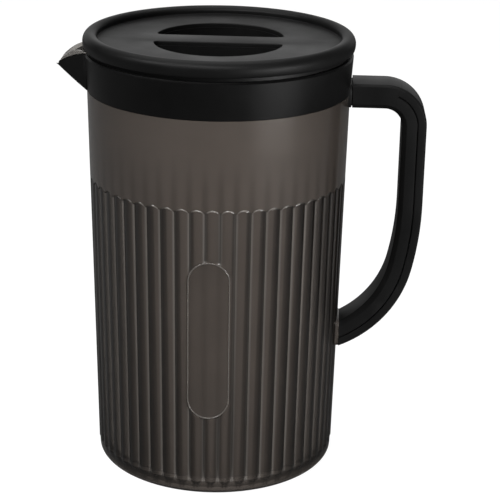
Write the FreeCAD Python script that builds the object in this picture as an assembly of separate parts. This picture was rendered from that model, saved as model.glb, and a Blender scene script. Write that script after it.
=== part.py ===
import FreeCAD, Part
import math

# Reeded drinks jug with a beak collar, a two-part handle and a turning strainer lid.
# Millimetres. Z up, origin on the vessel's axis at table level.
# The handle points to +X, the spout to -X and the oval plate to -Y.

V = FreeCAD.Vector

# Vessel
BAND_TOP_Z = 202.0        # shoulder that carries the collar
BAND_TOP_R = 67.7         # outside radius of the plain band at that shoulder
WALL_DRAFT = 0.018        # radius lost per mm of height going down
WALL = 3.2                # wall measured at the plain band
FLOOR = 4.6               # thickness of the bottom
NECK_WALL = 2.4
FOOT_SETBACK = 1.5        # foot ring inside the wall's line
FOOT_Z = 7.0              # height of the foot ring
HEEL = 1.6                # bevel under the foot ring
FOOT_RING = 8.6           # width of the ring that the jug stands on
PUNT = 1.2                # shallow recess inside that ring
INNER_HEEL = 6.0          # rounding inside, between bottom and wall
NECK_RAMP = 8.0           # height over which the inside narrows to the neck

# Reeds
REED_COUNT = 54
REED_PHASE = 4.8          # degrees from -Y to the nearest valley
REED_SAG = 0.9            # crest to valley
REED_PROUD = 0.35         # crest above the plain band
PLAIN_BAND = 45.0         # height left plain between reeds and collar
REED_ARCH = 2.0           # rise of each arched end
REED_SLOPE = 1.5          # fall of the arched end per mm outward
REED_FOOT = 1.6           # height over which the reeds run out above the foot ring

# Oval plate between the reeds
PLATE_W = 21.6
PLATE_H = 86.0
PLATE_Z = 86.7
PLATE_BORDER = 0.9
PLATE_PROUD = 0.10
BORDER_PROUD = 0.55

# Collar and spout
COLLAR_H = 19.0
COLLAR_WALL = 2.0         # at the lower edge
COLLAR_FLARE = 1.2        # radius gained from the lower to the upper edge
LIP_T = 1.6               # lip of the collar over the neck's rim
LIP_SETBACK = 0.4         # the lip's bore stands back from the neck's bore
TOP_BEVEL = 0.7
SPOUT_REACH = 15.1        # tip beyond the collar's upper edge
TIP_DROP = 9.0            # tip under the collar's upper edge
SPOUT_HALF_ANGLE = 13.04  # degrees, at the collar
RIM_BULGE = 1.3           # crown of the spout's rim over a straight line
KEEL_HOLLOW = 0.3         # sag of the spout's lower edge under a straight line
BEAK_WALL = 1.4
LINER_WALL = 1.2          # side walls of the vessel's own lip inside the spout
LINER_FLOOR = 1.6
LINER_GAP = 0.15          # between the spout and that lip, flat faces
LINER_DROP = 0.4          # the lip lies this much under the spout's rim
CHANNEL_LIFT = 6.2        # bottom of the pouring channel above the shoulder
TIP_SILL = 0.3            # the channel's end above the tip
GROOVE_W = 3.2            # groove through the tip

# Handle
ARM_RISE = 5.7            # arm's top above the shoulder
ARM_L = 16.7              # straight arm from its pad
HANDLE_W = 22.0
HANDLE_T = 13.0
BEND_R = 22.0
GRIP_L = 27.7             # straight grip below the bend
SWEEP_R1 = 240.0
SWEEP_A1 = 11.0
SWEEP_R2 = 72.0
OUTER_CHAMFER = 1.2
INNER_CHAMFER = 2.4
COVER_T = 4.4             # outer strip
COVER_GAP = 0.4           # seam
COVER_START = 22.0        # degrees into the bend
SHELL = 2.4               # wall of the hollow grip
TONGUE_T = 2.2            # rib that centres the strip in the grip
TONGUE_START = 48.0       # degrees into the bend
TONGUE_END = 25.0         # degrees into the lower sweep

# Handle seats and screws
PAD_PROUD = 1.1           # face of the upper pad beyond the plain band
PAD_MARGIN = 0.3          # pad beyond the handle's sides
STEP = 0.5                # shadow step between pad and handle
LAND_INSET = 1.2          # land on the pad inside the handle's outline
PAD_ROUND = 2.2
LUG_PROUD = 1.1           # face of the lower lug beyond the wall
LUG_INSET = 0.5           # lug inside the handle's sides
LUG_ROUND = 2.0
POST_D = 7.4
POST_L = 9.5
POST_ROOT = 2.0           # post sunk into its own pad or lug
PILOT_D = 3.1
SCREW_D = 3.0
SCREW_HOLE_D = 3.7
HEAD_D = 7.0
HEAD_T = 2.6
HEAD_ROOM = 0.8           # around the screw head
WEB = 2.8                 # web under each screw head
SEAT_DEPTH = 7.7          # lower post's axis from the handle's outer edge

# Lid
LID_NECK_H = 2.3          # recessed neck between collar and bead
LID_NECK_SETBACK = 2.3
LID_NECK_WALL = 2.8
BEAD_OVERHANG = 1.1       # bead beyond the collar's upper edge
BEAD_W = 7.3
BEAD_H = 7.7              # bead's height over the neck
BEAD_CREST_IN = 3.8       # bead's crest inside its widest line
BEAD_WIDE_UP = 3.3        # bead's widest line over the neck
PANEL_DROP = 4.0          # panel under the bead's crest
PANEL_T = 2.2
BAR_W = 17.0              # grip bar between the finger wells
WELL_W = 64.5
WELL_Y = 29.5
WELL_LIFT = 2.5           # well's floor over the skirt's lower edge
WELL_WALL = 1.6
WELL_CORNER = 2.4
CUT_MARGIN = 0.6          # panel opening larger than the well all round
PLUG_GAP = 0.8            # skirt to neck
PLUG_WALL = 2.0
PLUG_LIFT = 1.6           # skirt's lower edge over the shoulder
FLANGE_T = 2.0
GASKET_LIP = 1.2          # land under the gasket
GASKET_H = 2.4
GASKET_W = 2.0
GROOVE_BACK = 1.8         # wall behind the gasket's groove
SLOT_LAND = 1.7           # between gasket and strainer slots
SLOT_H = 8.7
SLOT_W = 3.0
SLOT_COUNT = 9
SLOT_STEP = 5.0           # degrees
WINDOW_W = 30.0           # open pouring side

# Clearance between curved faces of separate pieces
FIT = 0.3

# Derived levels and radii
COLLAR_IN_R = BAND_TOP_R - COLLAR_WALL
NECK_OUT_R = COLLAR_IN_R - FIT
NECK_IN_R = NECK_OUT_R - NECK_WALL
LIP_R = NECK_IN_R + LIP_SETBACK
COLLAR_TOP_R = BAND_TOP_R + COLLAR_FLARE
COLLAR_TOP_Z = BAND_TOP_Z + COLLAR_H
RIM_Z = COLLAR_TOP_Z - LIP_T
REED_TOP_Z = BAND_TOP_Z - PLAIN_BAND
PITCH = 360.0 / REED_COUNT
TIP_R = COLLAR_TOP_R + SPOUT_REACH
TIP_Z = COLLAR_TOP_Z - TIP_DROP
CREASE_R = (BAND_TOP_R + COLLAR_TOP_R) / 2
CREASE_X = CREASE_R * math.cos(math.radians(SPOUT_HALF_ANGLE))
CREASE_Y = CREASE_R * math.sin(math.radians(SPOUT_HALF_ANGLE))
CHANNEL_Z = BAND_TOP_Z + CHANNEL_LIFT
ARM_TOP_Z = BAND_TOP_Z + ARM_RISE
PAD_X = BAND_TOP_R + PAD_PROUD
ARM_X = PAD_X + ARM_L
SWEEP_Z = ARM_TOP_Z - BEND_R - GRIP_L
BEAD_LOW_Z = COLLAR_TOP_Z + LID_NECK_H
BEAD_TOP_Z = BEAD_LOW_Z + BEAD_H
BEAD_WIDE_Z = BEAD_LOW_Z + BEAD_WIDE_UP
BEAD_R = COLLAR_TOP_R + BEAD_OVERHANG
BEAD_CREST_R = BEAD_R - BEAD_CREST_IN
PANEL_R = BEAD_R - BEAD_W
PANEL_Z = BEAD_TOP_Z - PANEL_DROP
LID_NECK_R = COLLAR_TOP_R - LID_NECK_SETBACK
PLUG_R = NECK_IN_R - PLUG_GAP
PLUG_LOW_Z = BAND_TOP_Z + PLUG_LIFT
GASKET_Z = PLUG_LOW_Z + GASKET_LIP
GASKET_TOP_Z = GASKET_Z + GASKET_H
GASKET_R = NECK_IN_R - FIT
GROOVE_R = GASKET_R - GASKET_W - FIT
SLOT_Z = GASKET_TOP_Z + SLOT_LAND
WELL_FLOOR_Z = PLUG_LOW_Z + WELL_LIFT
HEAD_X = POST_L + FIT + WEB   # underside of a screw head from its seat
BACK_X = 0.9 * NECK_IN_R      # inner end of the spout's solids, inside the neck
SKY = BEAD_TOP_Z + BEAD_R     # above everything
FAR = 2 * TIP_R               # outside everything


def wall_r(z):
    """Outside radius of the plain, slightly conical wall at height z."""
    return BAND_TOP_R - WALL_DRAFT * (BAND_TOP_Z - z)


def outline(start, *steps):
    """Closed outline in the XZ plane. A step is (x, z), or ((x, z) on the way, (x, z)) for an arc."""
    edges = []
    here = start
    for step in list(steps) + [start]:
        if isinstance(step[0], tuple):
            mid, end = step
            arc = Part.Arc(V(here[0], 0, here[1]), V(mid[0], 0, mid[1]), V(end[0], 0, end[1]))
            edges.append(arc.toShape())
            here = end
        elif math.dist(here, step) > 1e-6:
            edges.append(Part.makeLine(V(here[0], 0, here[1]), V(step[0], 0, step[1])))
            here = step
    return Part.Face(Part.Wire(edges))


def turned(start, *steps):
    """Solid of revolution of an outline about the Z axis."""
    return outline(start, *steps).revolve(V(0, 0, 0), V(0, 0, 1), 360)


def slab(face, width):
    """Prism of an XZ face, centred on the XZ plane."""
    solid = face.extrude(V(0, width, 0))
    solid.translate(V(0, -width / 2, 0))
    return solid


def column(points, z0, z1):
    """Prism of a plan outline between two heights."""
    ring = [V(x, y, z0) for x, y in points]
    return Part.Face(Part.makePolygon(ring + ring[:1])).extrude(V(0, 0, z1 - z0))


def polar(r, degrees, z):
    return V(r * math.cos(math.radians(degrees)), r * math.sin(math.radians(degrees)), z)


# Reeded wall: one scalloped prism along the cone, its upper ends cut to arches
def reed_angles():
    first = -90.0 + REED_PHASE
    return [(first + i * PITCH, first + (i + 0.5) * PITCH, first + (i + 1) * PITCH) for i in range(REED_COUNT)]


def scallop(z):
    crest = wall_r(z) + REED_PROUD
    valley = crest - REED_SAG
    edges = []
    for a0, am, a1 in reed_angles():
        edges.append(Part.Arc(polar(valley, a0, z), polar(crest, am, z), polar(valley, a1, z)).toShape())
    return Part.Wire(edges)


def crown_cutter():
    """Ring above the reeds whose lower face is a row of arches, falling outward."""
    reach = 3 * REED_SAG
    r_in = wall_r(REED_TOP_Z) - reach
    r_out = wall_r(REED_TOP_Z) + reach
    top = REED_TOP_Z + 6 * REED_ARCH
    faces = []
    for a0, am, a1 in reed_angles():
        def arch(r, drop):
            low = REED_TOP_Z - REED_ARCH - drop
            high = REED_TOP_Z - drop
            return Part.Arc(polar(r, a0, low), polar(r, am, high), polar(r, a1, low)).toShape()

        def level(r):
            return Part.Arc(polar(r, a0, top), polar(r, am, top), polar(r, a1, top)).toShape()

        inner = arch(r_in, -REED_SLOPE * reach)
        outer = arch(r_out, REED_SLOPE * reach)
        faces.append(Part.makeRuledSurface(inner, outer))
        faces.append(Part.makeRuledSurface(inner, level(r_in)))
        faces.append(Part.makeRuledSurface(outer, level(r_out)))
        faces.append(Part.makeRuledSurface(level(r_in), level(r_out)))
    shell = Part.makeShell(faces)
    shell.sewShape()
    solid = Part.makeSolid(shell)
    if solid.Volume < 0:
        solid.reverse()
    return solid


def stadium(width, height):
    """Upright prism with round ends, reaching from the axis out through the -Y wall."""
    half = width / 2
    straight = height / 2 - half
    face = outline((-half, -straight), ((0, -straight - half), (half, -straight)), (half, straight),
                   ((0, straight + half), (-half, straight)))
    solid = face.extrude(V(0, -FAR, 0))
    solid.translate(V(0, 0, PLATE_Z))
    return solid


def wall_shell(inner, outer, z0, z1):
    """Conical shell that follows the wall, between two offsets from it."""
    return turned((wall_r(z0) + inner, z0), (wall_r(z0) + outer, z0),
                  (wall_r(z1) + outer, z1), (wall_r(z1) + inner, z1))


# Spout: a plan wedge crossed with a side profile
def wedge_tip(inset):
    """Reach of the plan wedge when its sides move in by inset."""
    slope = CREASE_Y / (TIP_R - CREASE_X)
    return TIP_R - inset * math.hypot(1.0, slope) / slope


def wedge(inset):
    tip = wedge_tip(inset)
    half = (tip - BACK_X) * CREASE_Y / (TIP_R - CREASE_X)
    return column([(-BACK_X, half), (-tip, 0), (-BACK_X, -half)], REED_TOP_Z, SKY)


def rim_curve(drop):
    """Side view of the spout's rim, from the collar to the tip, as outline steps."""
    mid = (-(TIP_R + CREASE_X) / 2, (COLLAR_TOP_Z + TIP_Z) / 2 + RIM_BULGE - drop)
    return [(-CREASE_X, COLLAR_TOP_Z - drop), (mid, (-TIP_R, TIP_Z - drop))]


def beak():
    low_mid = (-(TIP_R + CREASE_X) / 2, (BAND_TOP_Z + TIP_Z) / 2 - KEEL_HOLLOW)
    side = outline((-BACK_X, BAND_TOP_Z), (-BACK_X, COLLAR_TOP_Z), *rim_curve(0.0),
                   (low_mid, (-CREASE_X, BAND_TOP_Z)))
    return wedge(0.0).common(slab(side, FAR))


CHANNEL_END = (wedge_tip(BEAK_WALL + LINER_GAP + LINER_WALL), TIP_Z + TIP_SILL)


def above_channel(drop):
    """Space over the channel's floor line, let down by drop."""
    x_end, z_end = CHANNEL_END
    rise = (z_end - CHANNEL_Z) / (x_end - NECK_IN_R)
    z_far = CHANNEL_Z + rise * (FAR - NECK_IN_R)
    side = outline((0, CHANNEL_Z - drop), (-NECK_IN_R, CHANNEL_Z - drop), (-FAR, z_far - drop),
                   (-FAR, SKY), (0, SKY))
    return slab(side, FAR)


def tip_groove():
    x_end, z_end = CHANNEL_END
    start = x_end - GROOVE_W / 2
    side = outline((-start, z_end), (-TIP_R, TIP_Z), (-FAR, TIP_Z), (-FAR, SKY), (-start, SKY))
    return slab(side, GROOVE_W)


# Handle path, measured inward from its outer edge
BEND = (ARM_X, ARM_TOP_Z - BEND_R)
SIDE_X = ARM_X + BEND_R
SWEEP_1 = (SIDE_X - SWEEP_R1, SWEEP_Z)
TURN_1 = math.radians(SWEEP_A1)
SWEEP_2 = (SWEEP_1[0] + (SWEEP_R1 - SWEEP_R2) * math.cos(TURN_1),
           SWEEP_1[1] - (SWEEP_R1 - SWEEP_R2) * math.sin(TURN_1))
LUG_X = wall_r(BAND_TOP_Z / 3) + LUG_PROUD


def around(centre, r, angle):
    return (centre[0] + r * math.cos(angle), centre[1] + r * math.sin(angle))


def sweep_end(depth, foot_x):
    """Angle of the lower sweep where a line that lies depth inside the outer edge meets x = foot_x."""
    return -math.acos((foot_x - SWEEP_2[0]) / (SWEEP_R2 - depth))


def handle_path(depth, foot_x):
    """Outline steps along the handle, depth inside its outer edge, from the pad to x = foot_x."""
    last = sweep_end(depth, foot_x)
    return [
        (PAD_X, ARM_TOP_Z - depth),
        (ARM_X, ARM_TOP_Z - depth),
        (around(BEND, BEND_R - depth, math.pi / 4), (SIDE_X - depth, BEND[1])),
        (SIDE_X - depth, SWEEP_Z),
        (around(SWEEP_1, SWEEP_R1 - depth, -TURN_1 / 2), around(SWEEP_1, SWEEP_R1 - depth, -TURN_1)),
        (around(SWEEP_2, SWEEP_R2 - depth, (last - TURN_1) / 2), around(SWEEP_2, SWEEP_R2 - depth, last)),
    ]


def backwards(steps):
    """The same outline steps from end to start."""
    ends = [s[1] if isinstance(s[0], tuple) else s for s in steps]
    result = [ends[-1]]
    for i in range(len(steps) - 1, 0, -1):
        through = isinstance(steps[i][0], tuple)
        result.append((steps[i][0], ends[i - 1]) if through else ends[i - 1])
    return result


def handle_strip(near, far, foot_x):
    """XZ face between two distances from the handle's outer edge."""
    out = handle_path(near, foot_x)
    return outline(out[0], *out[1:], *backwards(handle_path(far, foot_x)))


def bend_sector(start):
    """Everything past a given angle of the bend, to part the outer strip from the arm."""
    ray = around(BEND, FAR, math.radians(90.0 - start))
    return slab(outline(BEND, ray, (FAR, ray[1]), (FAR, -FAR), (-FAR, -FAR), (-FAR, BEND[1])), FAR)


# Screw seats: local X axis along the screw, origin on the seat face
def placed(shape, at, tilt):
    shape = shape.copy()
    shape.rotate(V(0, 0, 0), V(0, 1, 0), -tilt)
    shape.translate(V(at[0], 0, at[1]))
    return shape


def rod(diameter, x0, x1):
    return Part.makeCylinder(diameter / 2, x1 - x0, V(x0, 0, 0), V(1, 0, 0))


# The upper screw lies along the arm, the lower one along the chord of the sweep behind its seat
UPPER_SEAT = (PAD_X, ARM_TOP_Z - HANDLE_T / 2)
seat_angle = sweep_end(SEAT_DEPTH, LUG_X)
LOWER_SEAT = around(SWEEP_2, SWEEP_R2 - SEAT_DEPTH, seat_angle)
LOWER_TILT = 90.0 + math.degrees(seat_angle + HEAD_X / (SWEEP_R2 - SEAT_DEPTH) / 2)
SEATS = [(UPPER_SEAT, 0.0), (LOWER_SEAT, LOWER_TILT)]


def post():
    return rod(POST_D, -POST_ROOT, POST_L)


def pilot():
    return rod(PILOT_D, 0.0, POST_L + WEB)


def screw():
    shank = rod(SCREW_D, FIT, HEAD_X)
    head = rod(HEAD_D, HEAD_X, HEAD_X + HEAD_T)
    return shank.fuse(head).removeSplitter()


# Vessel
deep = REED_PROUD - REED_SAG - 0.05
shoulder_z = REED_TOP_Z - REED_ARCH - 0.4
shoulder_top = shoulder_z + REED_SAG
core = turned((0, 0), (wall_r(0) + deep, 0), (wall_r(shoulder_z) + deep, shoulder_z),
              (wall_r(shoulder_top), shoulder_top), (BAND_TOP_R, BAND_TOP_Z),
              (NECK_OUT_R, BAND_TOP_Z), (NECK_OUT_R, RIM_Z), (0, RIM_Z))
reeds = Part.makeLoft([scallop(-FOOT_Z), scallop(REED_TOP_Z + 2 * REED_ARCH)], True, True)
reeds = reeds.cut(crown_cutter())
foot_r = wall_r(0) - FOOT_SETBACK
foot_top_r = wall_r(FOOT_Z) + REED_PROUD - REED_SAG
trim_z = FOOT_Z + REED_FOOT
envelope = turned((0, 0), (foot_r - HEEL, 0), (foot_r - 0.3 * HEEL, 0.3 * HEEL), (foot_r, HEEL),
                  (foot_top_r, FOOT_Z), (wall_r(trim_z) + REED_PROUD + FIT, trim_z), (FAR, trim_z), (FAR, SKY),
                  (0, SKY))
body = core.fuse(reeds).common(envelope)

plate_low = PLATE_Z - PLATE_H / 2 - PLATE_BORDER
plate_high = PLATE_Z + PLATE_H / 2 + PLATE_BORDER
plate = stadium(PLATE_W, PLATE_H).common(wall_shell(-WALL / 2, PLATE_PROUD, plate_low, plate_high))
border = stadium(PLATE_W, PLATE_H).cut(stadium(PLATE_W - 2 * PLATE_BORDER, PLATE_H - 2 * PLATE_BORDER))
border = border.common(wall_shell(-WALL / 3, BORDER_PROUD, plate_low, plate_high))
# The reeds stop at the plate, so its outline is cleared before the plate goes in
plate_pocket = stadium(PLATE_W, PLATE_H).common(wall_shell(deep, WALL, plate_low, plate_high))
body = body.cut(plate_pocket).fuse([plate, border])

# Lug for the handle's lower end, as tall as that end
lug_low = around(SWEEP_2, SWEEP_R2, sweep_end(0.0, LUG_X))[1]
lug_high = around(SWEEP_2, SWEEP_R2 - HANDLE_T, sweep_end(HANDLE_T, LUG_X))[1]
lug_w = HANDLE_W - 2 * LUG_INSET
lug_back = LUG_X - LUG_PROUD - 2 * WALL
lug = Part.makeBox(LUG_X - lug_back, lug_w, lug_high - lug_low, V(lug_back, -lug_w / 2, lug_low))
lug = lug.makeFillet(LUG_ROUND, [e for e in lug.Edges if abs(e.tangentAt(e.FirstParameter).x) > 0.9])
body = body.fuse([lug, placed(post(), *SEATS[1])])

# The vessel's own lip inside the spout
liner = wedge(BEAK_WALL + LINER_GAP).common(above_channel(LINER_FLOOR))
rim_side = outline((0, REED_TOP_Z), (0, RIM_Z), (-NECK_IN_R, RIM_Z), *rim_curve(LINER_DROP)[1:],
                   (-TIP_R, REED_TOP_Z))
body = body.fuse(liner.common(slab(rim_side, FAR)))

ramp_z = BAND_TOP_Z - NECK_RAMP
inner_low_r = wall_r(FLOOR) - WALL
cavity = turned((0, FLOOR), (inner_low_r - INNER_HEEL, FLOOR),
                ((inner_low_r - 0.29 * INNER_HEEL, FLOOR + 0.29 * INNER_HEEL),
                 (inner_low_r + WALL_DRAFT * INNER_HEEL, FLOOR + INNER_HEEL)),
                (wall_r(ramp_z) - WALL, ramp_z), (NECK_IN_R, BAND_TOP_Z - PUNT), (NECK_IN_R, SKY), (0, SKY))
channel = wedge(BEAK_WALL + LINER_GAP + LINER_WALL).common(above_channel(0.0))
punt_r = foot_r - FOOT_RING
punt = turned((0, -PUNT), (punt_r + 2 * PUNT, -PUNT), (punt_r, PUNT), (0, PUNT))
jug_body = body.cut([cavity, channel, punt, tip_groove(), placed(pilot(), *SEATS[1])]).removeSplitter()

# Collar
ring = turned((COLLAR_IN_R, BAND_TOP_Z), (BAND_TOP_R, BAND_TOP_Z), (COLLAR_TOP_R, COLLAR_TOP_Z - TOP_BEVEL),
              (COLLAR_TOP_R - TOP_BEVEL, COLLAR_TOP_Z), (LIP_R, COLLAR_TOP_Z), (LIP_R, RIM_Z), (COLLAR_IN_R, RIM_Z))
pad_w = HANDLE_W + 2 * PAD_MARGIN
pad_h = HANDLE_T - 2 * PAD_MARGIN
pad_z = ARM_TOP_Z - HANDLE_T + PAD_MARGIN
pad = Part.makeBox(PAD_X - STEP - BACK_X, pad_w, pad_h, V(BACK_X, -pad_w / 2, pad_z))
pad = pad.makeFillet(PAD_ROUND, [e for e in pad.Edges if abs(e.tangentAt(e.FirstParameter).x) > 0.9])
land_w = HANDLE_W - 2 * LAND_INSET
land_h = HANDLE_T - 2 * LAND_INSET
land = Part.makeBox(2 * STEP, land_w, land_h, V(PAD_X - 2 * STEP, -land_w / 2, UPPER_SEAT[1] - land_h / 2))
neck_room = turned((0, REED_TOP_Z), (wall_r(REED_TOP_Z) + FIT, REED_TOP_Z), (BAND_TOP_R + FIT, BAND_TOP_Z),
                   (COLLAR_IN_R, BAND_TOP_Z), (COLLAR_IN_R, RIM_Z), (LIP_R, RIM_Z), (LIP_R, SKY), (0, SKY))
liner_room = wedge(BEAK_WALL).common(above_channel(LINER_FLOOR + LINER_GAP))
collar = ring.fuse([beak(), pad, land, placed(post(), *SEATS[0])])
collar = collar.cut([neck_room, liner_room, tip_groove(), placed(pilot(), *SEATS[0])]).removeSplitter()

# Handle
whole = slab(handle_strip(0.0, HANDLE_T, LUG_X), HANDLE_W)


def rail_edges(solid, strip):
    """Long edges of a handle prism that lie on the outline curve a given distance from the outer edge."""
    found = []
    for edge in solid.Edges:
        p = edge.valueAt((edge.FirstParameter + edge.LastParameter) / 2)
        q = edge.valueAt(edge.FirstParameter)
        if abs(abs(p.y) - HANDLE_W / 2) < 1e-6 and abs(p.y - q.y) < 1e-6:
            on_curve = strip.distToShape(Part.Vertex(V(p.x, 0, p.z)))[0] < 1e-6
            level_end = abs(p.x - q.x) < 1e-6 and (abs(p.x - PAD_X) < 1e-6 or abs(p.x - LUG_X) < 1e-6)
            if on_curve and not level_end:
                found.append(edge)
    return found


outer_line = Part.Compound(handle_strip(-STEP, 0.0, LUG_X).Edges)
inner_line = Part.Compound(handle_strip(HANDLE_T, HANDLE_T + STEP, LUG_X).Edges)
whole = whole.makeChamfer(OUTER_CHAMFER, rail_edges(whole, outer_line))
whole = whole.makeChamfer(INNER_CHAMFER, rail_edges(whole, inner_line))

past_lug = LUG_X - WALL
channel_w = HANDLE_W - 2 * SHELL
cover_zone = slab(handle_strip(-STEP, COVER_T, past_lug), 2 * HANDLE_W)
handle_cover = whole.common(cover_zone).common(bend_sector(COVER_START))
tongue = slab(handle_strip(COVER_T - STEP, COVER_T + TONGUE_T, LUG_X), channel_w - 2 * FIT)
tongue_end = around(SWEEP_2, SWEEP_R2, -math.radians(TONGUE_END))[1]
above_end = Part.makeBox(2 * FAR, 2 * FAR, SKY, V(-FAR, -FAR, tongue_end))
handle_cover = handle_cover.fuse(tongue.common(bend_sector(TONGUE_START)).common(above_end))
# The strip is relieved over the lower post and screw head
post_room = [placed(rod(POST_D + 2 * FIT, -POST_L, POST_L + FIT), *seat) for seat in SEATS]
head_room = [placed(rod(HEAD_D + 2 * HEAD_ROOM, HEAD_X, HEAD_X + 3 * HEAD_T), *seat) for seat in SEATS]
handle_cover = handle_cover.cut(post_room + head_room).removeSplitter()

strip_room = slab(handle_strip(-STEP, COVER_T + COVER_GAP, past_lug), 2 * HANDLE_W)
gap_angle = math.degrees(COVER_GAP / BEND_R)
strip_room = strip_room.common(bend_sector(COVER_START - gap_angle))
# The hollow stops at the two webs that carry the screw heads
hollow = slab(handle_strip(COVER_T, HANDLE_T - SHELL, LUG_X), channel_w)
upper_keep = Part.makeBox(PAD_X + HEAD_X, 2 * FAR, FAR, V(0, -FAR, BEND[1]))
lower_keep = placed(Part.makeBox(FAR, 2 * FAR, 2 * FAR, V(HEAD_X - FAR, -FAR, -FAR)), *SEATS[1])
hollow = hollow.cut([upper_keep, lower_keep])
shank_room = [placed(rod(SCREW_HOLE_D, 0.0, HEAD_X + FIT), *seat) for seat in SEATS]
handle_grip = whole.cut([strip_room, hollow] + post_room + shank_room + head_room).removeSplitter()
handle_screws = Part.makeCompound([placed(screw(), *seat) for seat in SEATS])

# Lid: outer cap with bead and panel, inner plug with wells, skirt and strainer


def well_plan(grow, side):
    """Half-round plan of a finger well, grown all round, on one side of the grip bar."""
    half = WELL_W / 2
    r = (half ** 2 + WELL_Y ** 2) / (2 * WELL_Y)
    flat = BAR_W / 2
    centre = flat + WELL_Y - r
    big = r + grow
    reach = math.sqrt(big ** 2 - (centre - flat + grow) ** 2)
    near = (flat - grow) * side
    a = V(-reach, near, 0)
    b = V(reach, near, 0)
    top = V(0, (centre + big) * side, 0)
    return Part.Face(Part.Wire([Part.makeLine(a, b), Part.Arc(b, top, a).toShape()]))


def well_column(grow, side, z0, z1, corner):
    face = well_plan(grow, side)
    face.translate(V(0, 0, z0))
    solid = face.extrude(V(0, 0, z1 - z0))
    upright = [e for e in solid.Edges if abs(e.tangentAt(e.FirstParameter).z) > 0.9]
    return solid.makeFillet(corner, upright)


under_panel = PANEL_Z - PANEL_T
lid_bore = LID_NECK_R - LID_NECK_WALL
bead = turned((0, under_panel), (lid_bore, under_panel), (lid_bore, COLLAR_TOP_Z), (LID_NECK_R, COLLAR_TOP_Z),
              (LID_NECK_R, BEAD_LOW_Z), (BEAD_R - 0.3 * BEAD_WIDE_UP, BEAD_LOW_Z),
              ((BEAD_R - 0.08 * BEAD_WIDE_UP, BEAD_LOW_Z + 0.36 * BEAD_WIDE_UP), (BEAD_R, BEAD_WIDE_Z)),
              ((BEAD_R - 0.29 * BEAD_CREST_IN, BEAD_TOP_Z - 0.31 * PANEL_DROP), (BEAD_CREST_R, BEAD_TOP_Z)),
              ((PANEL_R + 0.3 * (BEAD_W - BEAD_CREST_IN), BEAD_TOP_Z - 0.19 * PANEL_DROP),
               (PANEL_R, BEAD_TOP_Z - 0.65 * PANEL_DROP)),
              (PANEL_R, PANEL_Z), (0, PANEL_Z))
openings = [well_column(CUT_MARGIN, s, under_panel - PANEL_T, PANEL_Z + PANEL_T, WELL_CORNER + CUT_MARGIN)
            for s in (-1, 1)]
lid_cap = bead.cut(openings).removeSplitter()

skirt_in = PLUG_R - PLUG_WALL
under_flange = under_panel - FLANGE_T
groove_in = GROOVE_R - GROOVE_BACK
plug = turned((0, under_flange), (skirt_in, under_flange), (skirt_in, GASKET_TOP_Z + GASKET_LIP),
              (groove_in, GASKET_TOP_Z), (groove_in, PLUG_LOW_Z), (PLUG_R, PLUG_LOW_Z),
              (PLUG_R, GASKET_Z), (GROOVE_R, GASKET_Z), (GROOVE_R, GASKET_TOP_Z), (PLUG_R, GASKET_TOP_Z),
              (PLUG_R, under_panel), (0, under_panel))
wells = [well_column(WELL_WALL, s, WELL_FLOOR_Z - WELL_WALL, under_panel, WELL_CORNER + WELL_WALL) for s in (-1, 1)]
plug = plug.fuse(wells)
plug_cuts = [well_column(0.0, s, WELL_FLOOR_Z, SKY, WELL_CORNER) for s in (-1, 1)]
through = 4 * PLUG_WALL
for i in range(SLOT_COUNT):
    slot = Part.makeBox(through, SLOT_W, SLOT_H, V(-PLUG_R - PLUG_WALL, -SLOT_W / 2, SLOT_Z))
    slot.rotate(V(0, 0, 0), V(0, 0, 1), (i - (SLOT_COUNT - 1) / 2) * SLOT_STEP)
    plug_cuts.append(slot)
window_back = math.sqrt(skirt_in ** 2 - (WINDOW_W / 2) ** 2) - PLUG_WALL
plug_cuts.append(Part.makeBox(PLUG_R - window_back + PLUG_WALL, WINDOW_W, SLOT_H,
                              V(window_back, -WINDOW_W / 2, SLOT_Z)))
lid_plug = plug.cut(plug_cuts).removeSplitter()

lid_gasket = turned((GASKET_R - GASKET_W, GASKET_Z), (GASKET_R, GASKET_Z), (GASKET_R, GASKET_TOP_Z),
                    (GASKET_R - GASKET_W, GASKET_TOP_Z))

PIECES = {
    "jug_body": jug_body,
    "collar": collar,
    "handle_grip": handle_grip,
    "handle_cover": handle_cover,
    "handle_screws": handle_screws,
    "lid_cap": lid_cap,
    "lid_plug": lid_plug,
    "lid_gasket": lid_gasket,
}
for name, shape in PIECES.items():
    shape.exportStep("parts/" + name + ".step")
    box = shape.BoundBox
    print(name, len(shape.Solids), shape.isValid(), round(shape.Volume / 1000, 2), "cm3",
          [round(v, 2) for v in (box.XMin, box.XMax, box.YMin, box.YMax, box.ZMin, box.ZMax)])
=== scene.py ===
# %% [markdown]
# This lesson dresses a cold-drinks jug: a smoke-tinted reeded vessel, a black collar with a beak spout, a
# two-part handle and a flat lid with two finger wells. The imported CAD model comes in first, as a fixed frame
# in metres. Pieces whose outside shows get a finer surface here, and the rest keep their CAD shape with a
# better material.

import bmesh
import bpy
import math
import numpy as np
from mathutils import Matrix, Vector


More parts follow.
